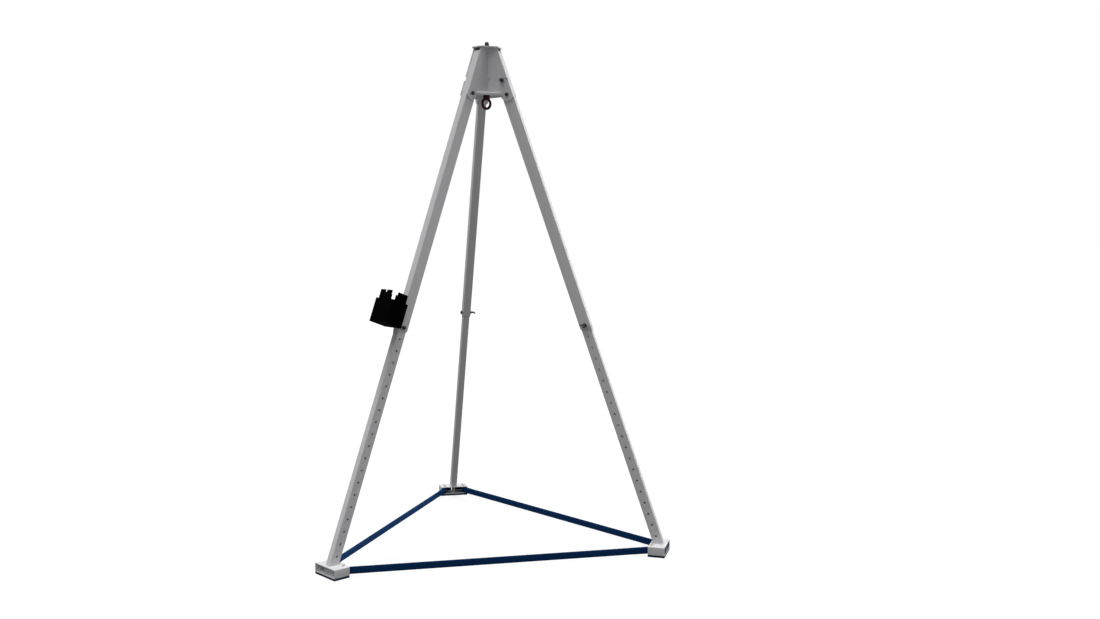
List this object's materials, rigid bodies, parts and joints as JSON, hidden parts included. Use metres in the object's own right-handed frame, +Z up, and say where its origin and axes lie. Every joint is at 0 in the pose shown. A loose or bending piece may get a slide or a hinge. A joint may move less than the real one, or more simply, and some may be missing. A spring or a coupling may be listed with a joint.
{
  "type": "lifting tripod",
  "caption": "Aluminium tripod with telescopic pinned legs, a folding head with a lifting eye, feet joined by straps, and a bracket for a winch on one leg.",
  "frame": {"origin": "on the floor, under the middle of the box around the feet", "axes": "+Z up; +X from the left foot to the right foot; +Y from the front strap towards the back foot"},
  "size_m": [1.505, 1.3034, 2.1793],
  "materials": {
    "aluminium_sheet": "satin anodised",
    "aluminium_tube": "satin anodised, drawn along",
    "foot_aluminium": "satin anodised",
    "black_zinc": "black zinc plating, low sheen",
    "zinc": "zinc plated, dull",
    "spring_steel": "bright wire",
    "red_enamel": "dark red enamel, glossy",
    "black_plastic": "fine grain",
    "grey_plastic": "fine grain",
    "sole_rubber": "matt, dark blue",
    "webbing": "woven polyester, matt",
    "black_powder_coat": "fine textured powder coat"
  },
  "bodies": {
    "head": {"head_panel_front": "aluminium_sheet", "head_panel_right": "aluminium_sheet", "head_panel_left": "aluminium_sheet", "top_plate": "aluminium_sheet", "bottom_plate": "aluminium_sheet", "eye_washer": "zinc", "left_pivot_bolt": "black_zinc", "left_pivot_bush": "zinc", "left_head_lock_housing": "black_zinc", "left_head_lock_spring": "spring_steel", "right_pivot_bolt": "black_zinc", "right_pivot_bush": "zinc", "right_head_lock_housing": "black_zinc", "right_head_lock_spring": "spring_steel", "back_pivot_bolt": "black_zinc", "back_pivot_bush": "zinc", "back_head_lock_housing": "black_zinc", "back_head_lock_spring": "spring_steel"},
    "eye": {"ring_eye": "red_enamel", "tie_rod": "black_zinc", "cap_nut": "black_zinc"},
    "left_upper_leg": {"left_outer_tube": "aluminium_tube", "left_top_plug": "black_plastic", "left_leg_collar": "grey_plastic", "left_lock_socket": "black_zinc", "device_bracket": "black_powder_coat", "bracket_saddle": "black_powder_coat"},
    "left_lower_leg": {"left_inner_tube": "aluminium_tube", "left_foot_profile": "foot_aluminium", "left_sole_pad": "sole_rubber", "left_strap_bolt_1": "zinc", "left_strap_bolt_2": "zinc", "front_strap": "webbing"},
    "left_head_lock": {"left_head_lock_pin": "black_plastic"},
    "left_leg_lock": {"left_leg_lock_pin": "black_zinc"},
    "right_upper_leg": {"right_outer_tube": "aluminium_tube", "right_top_plug": "black_plastic", "right_leg_collar": "grey_plastic", "right_lock_socket": "black_zinc"},
    "right_lower_leg": {"right_inner_tube": "aluminium_tube", "right_foot_profile": "foot_aluminium", "right_sole_pad": "sole_rubber", "right_strap_bolt_1": "zinc", "right_strap_bolt_2": "zinc", "right_strap": "webbing"},
    "right_head_lock": {"right_head_lock_pin": "black_plastic"},
    "right_leg_lock": {"right_leg_lock_pin": "black_zinc"},
    "back_upper_leg": {"back_outer_tube": "aluminium_tube", "back_top_plug": "black_plastic", "back_leg_collar": "grey_plastic", "back_lock_socket": "black_zinc"},
    "back_lower_leg": {"back_inner_tube": "aluminium_tube", "back_foot_profile": "foot_aluminium", "back_sole_pad": "sole_rubber", "back_strap_bolt_1": "zinc", "back_strap_bolt_2": "zinc", "left_strap": "webbing"},
    "back_head_lock": {"back_head_lock_pin": "black_plastic"},
    "back_leg_lock": {"back_leg_lock_pin": "black_zinc"}
  },
  "joints": [
    {"name": "left_leg_fold", "type": "hinge", "parent": "head", "child": "left_upper_leg", "pos_m": [-0.08626, -0.22777, 1.95158], "axis": [0.5, -0.866, 0], "range_deg": [0, 20], "deforming": ["front_strap", "left_strap"]},
    {"name": "left_leg_slide", "type": "slide", "parent": "left_upper_leg", "child": "left_lower_leg", "axis": [0.2962, 0.171, 0.9397], "range_m": [0, 0.9], "deforming": ["front_strap", "left_strap"]},
    {"name": "left_head_lock_pull", "type": "slide", "parent": "head", "child": "left_head_lock", "axis": [-0.5, 0.866, 0], "range_m": [0, 0.004], "stiffness_N_per_m": 300, "deforming": ["left_head_lock_spring"]},
    {"name": "left_leg_lock_pull", "type": "slide", "parent": "left_upper_leg", "child": "left_leg_lock", "axis": [-0.5, 0.866, 0], "range_m": [0, 0.045]},
    {"name": "right_leg_fold", "type": "hinge", "parent": "head", "child": "right_upper_leg", "pos_m": [0.08626, -0.22777, 1.95158], "axis": [0.5, 0.866, 0], "range_deg": [0, 20], "deforming": ["front_strap", "right_strap"]},
    {"name": "right_leg_slide", "type": "slide", "parent": "right_upper_leg", "child": "right_lower_leg", "axis": [-0.2962, 0.171, 0.9397], "range_m": [0, 0.9], "deforming": ["front_strap", "right_strap"]},
    {"name": "right_head_lock_pull", "type": "slide", "parent": "head", "child": "right_head_lock", "axis": [-0.5, -0.866, 0], "range_m": [0, 0.004], "stiffness_N_per_m": 300, "deforming": ["right_head_lock_spring"]},
    {"name": "right_leg_lock_pull", "type": "slide", "parent": "right_upper_leg", "child": "right_leg_lock", "axis": [-0.5, -0.866, 0], "range_m": [0, 0.045]},
    {"name": "back_leg_fold", "type": "hinge", "parent": "head", "child": "back_upper_leg", "pos_m": [0, -0.07837, 1.95158], "axis": [-1, 0, 0], "range_deg": [0, 20], "deforming": ["right_strap", "left_strap"]},
    {"name": "back_leg_slide", "type": "slide", "parent": "back_upper_leg", "child": "back_lower_leg", "axis": [0, -0.342, 0.9397], "range_m": [0, 0.9], "deforming": ["right_strap", "left_strap"]},
    {"name": "back_head_lock_pull", "type": "slide", "parent": "head", "child": "back_head_lock", "axis": [1, 0, 0], "range_m": [0, 0.004], "stiffness_N_per_m": 300, "deforming": ["back_head_lock_spring"]},
    {"name": "back_leg_lock_pull", "type": "slide", "parent": "back_upper_leg", "child": "back_leg_lock", "axis": [1, 0, 0], "range_m": [0, 0.045]},
    {"name": "eye_swivel", "type": "hinge", "parent": "head", "child": "eye", "pos_m": [0, -0.17797, 1.91588], "axis": [0, 0, 1], "continuous": true}
  ]
}
